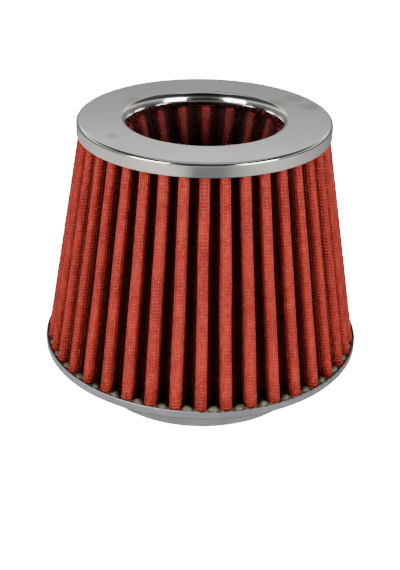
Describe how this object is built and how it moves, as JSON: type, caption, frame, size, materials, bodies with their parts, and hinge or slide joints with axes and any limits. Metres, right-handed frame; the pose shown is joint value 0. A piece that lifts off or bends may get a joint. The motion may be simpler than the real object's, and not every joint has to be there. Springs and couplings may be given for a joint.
{
  "type": "performance air filter",
  "caption": "Round open-top air filter with an outer pleated cone, an inverted inner pleated cone, a flat ring cap and a clamp-on neck.",
  "frame": {"origin": "centre of the neck's mouth, on the plane that the filter stands on", "axes": "+Z along the filter's axis, from the neck to the open top; -Y towards the viewer"},
  "size_m": [0.155, 0.155, 0.1357],
  "materials": {
    "cap_metal": "satin chrome plating",
    "sealant": "cast resin, as poured",
    "wire_cloth": "woven wire, dull",
    "red_gauze": "oiled cotton gauze",
    "strip_metal": "mill finish",
    "base_metal": "matte"
  },
  "bodies": {
    "root": {"top_cap": "cap_metal", "cap_sealant": "sealant", "outer_face_wire": "wire_cloth", "outer_gauze": "red_gauze", "outer_back_wire": "wire_cloth", "outer_seam_strip": "strip_metal", "inner_face_wire": "wire_cloth", "inner_gauze": "red_gauze", "inner_back_wire": "wire_cloth", "inner_seam_strip": "strip_metal", "end_dish": "strip_metal", "end_sealant": "sealant", "base_sealant": "sealant", "base_pan": "base_metal", "neck": "base_metal"}
  },
  "joints": []
}
